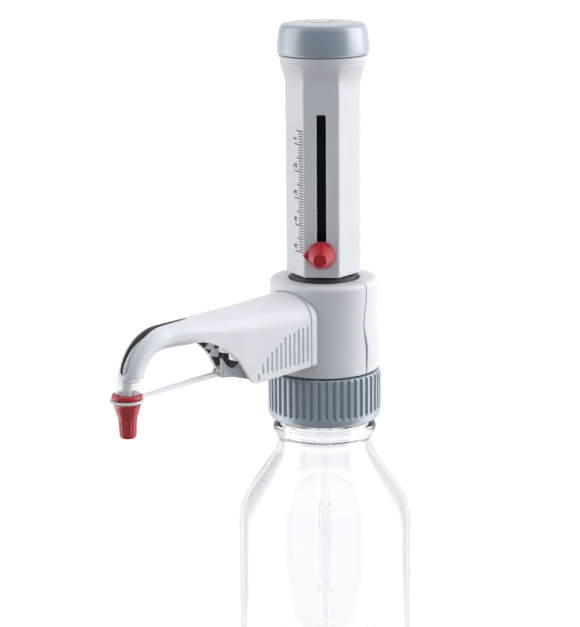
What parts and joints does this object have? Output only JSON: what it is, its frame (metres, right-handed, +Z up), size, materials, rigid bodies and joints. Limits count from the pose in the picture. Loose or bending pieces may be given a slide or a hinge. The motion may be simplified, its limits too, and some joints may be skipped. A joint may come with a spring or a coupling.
{
  "type": "bottle-top dispenser",
  "caption": "Adjustable bottle-top liquid dispenser on a round laboratory reagent bottle: lift-and-press piston grip, volume pointer, curved discharge arm with captive nozzle cap.",
  "frame": {"origin": "centre of the bottle's flat base", "axes": "+Z up along the bottle and piston axis; the discharge arm points along -X at rest"},
  "size_m": [0.1794, 0.086, 0.3489],
  "materials": {
    "clear_glass": "clear polished borosilicate glass",
    "clear_plastic": "translucent fluoropolymer or acrylic",
    "pale_plastic": "fine satin moulding",
    "blue_plastic": "satin moulding",
    "dark_plastic": "satin moulding",
    "red_plastic": "satin moulding",
    "clear_red_plastic": "glossy translucent moulding",
    "fluoropolymer": "waxy white",
    "strap_plastic": "translucent white, flexible",
    "spring_metal": "bright",
    "ruby": "polished"
  },
  "bodies": {
    "bottle": {"reservoir_bottle": "clear_glass"},
    "neck_seal": {"neck_gasket": "fluoropolymer"},
    "screw_ring": {"screw_ring": "blue_plastic"},
    "valve_block": {"retaining_plate": "pale_plastic", "valve_block": "pale_plastic", "block_front_shell": "pale_plastic", "block_rear_cover": "pale_plastic", "air_vent_plug": "dark_plastic", "cylinder_nut": "dark_plastic", "cylinder_seal": "fluoropolymer", "glass_cylinder": "clear_glass", "cylinder_sleeve": "clear_plastic", "filling_valve_body": "fluoropolymer", "filling_valve_cage": "fluoropolymer", "filling_tube_upper": "clear_plastic", "arm_housing": "pale_plastic", "discharge_tube": "clear_plastic", "nozzle_sleeve": "pale_plastic", "discharge_valve_body": "pale_plastic", "discharge_valve_spring": "spring_metal", "tube_nut": "dark_plastic", "holder_clip": "pale_plastic", "strap_pin": "spring_metal"},
    "filling_ball": {"filling_valve_ball": "ruby"},
    "discharge_ball": {"discharge_valve_ball": "ruby"},
    "lower_tube": {"filling_tube_lower": "clear_plastic"},
    "cap_strap": {"cap_strap": "strap_plastic"},
    "nozzle_cap": {"nozzle_cap": "red_plastic"},
    "grip": {"grip_housing": "pale_plastic", "lower_guide": "dark_plastic", "rod_carrier": "dark_plastic", "rack_rail": "dark_plastic", "top_cap": "blue_plastic", "calibration_cover": "blue_plastic"},
    "calibration": {"calibration_screw": "spring_metal"},
    "piston": {"piston_rod": "spring_metal", "piston": "fluoropolymer"},
    "pointer": {"volume_pointer": "clear_red_plastic", "pointer_slider": "dark_plastic"},
    "thumb_screw": {"thumb_screw": "clear_red_plastic"}
  },
  "joints": [
    {"name": "dispenser_lift", "type": "slide", "parent": "bottle", "child": "neck_seal", "axis": [0, 0, 1], "range_m": [0, 0.00901]},
    {"name": "ring_unscrew", "type": "hinge", "parent": "neck_seal", "child": "screw_ring", "pos_m": [0, 0, 0.1795], "axis": [0, 0, 1], "range_deg": [0, 810]},
    {"name": "block_swivel", "type": "hinge", "parent": "neck_seal", "child": "valve_block", "pos_m": [0, 0, 0.1795], "axis": [0, 0, 1], "continuous": true},
    {"name": "filling_tube_slide", "type": "slide", "parent": "valve_block", "child": "lower_tube", "axis": [0, 0, 1], "range_m": [0, 0.045]},
    {"name": "filling_valve_lift", "type": "slide", "parent": "valve_block", "child": "filling_ball", "axis": [0, 0, 1], "range_m": [0, 0.0015]},
    {"name": "discharge_valve_open", "type": "slide", "parent": "valve_block", "child": "discharge_ball", "axis": [-1, 0, 0], "range_m": [0, 0.0015], "stiffness_N_per_m": 30, "springref_m": -0.002, "deforming": ["discharge_valve_spring"]},
    {"name": "strap_flex", "type": "hinge", "parent": "valve_block", "child": "cap_strap", "pos_m": [-0.071, 0, 0.1908], "axis": [0, -1, 0], "range_deg": [0, 60]},
    {"name": "cap_turn", "type": "hinge", "parent": "cap_strap", "child": "nozzle_cap", "pos_m": [-0.1286, 0, 0.19], "axis": [0, 0, 1], "continuous": true},
    {"name": "grip_lift", "type": "slide", "parent": "valve_block", "child": "grip", "axis": [0, 0, 1], "range_m": [0, 0.0636]},
    {"name": "calibration_turn", "type": "hinge", "parent": "grip", "child": "calibration", "pos_m": [0, 0, 0.322], "axis": [0, 0, 1], "range_deg": [-180, 180]},
    {"name": "piston_trim", "type": "slide", "parent": "grip", "child": "piston", "axis": [0, 0, 1], "range_m": [-0.00051, 0.00051]},
    {"name": "pointer_set", "type": "slide", "parent": "grip", "child": "pointer", "axis": [0, 0, 1], "range_m": [0, 0.0573]},
    {"name": "pointer_clamp", "type": "hinge", "parent": "pointer", "child": "thumb_screw", "pos_m": [0, 0, 0.2391], "axis": [-0.7727, -0.6347, 0], "range_deg": [0, 360]}
  ],
  "couplings": [
    {"joint": "dispenser_lift", "follows": "ring_unscrew", "m_per_rad": 0.00063662},
    {"joint": "piston_trim", "follows": "calibration_turn", "m_per_rad": 0.00015915}
  ]
}
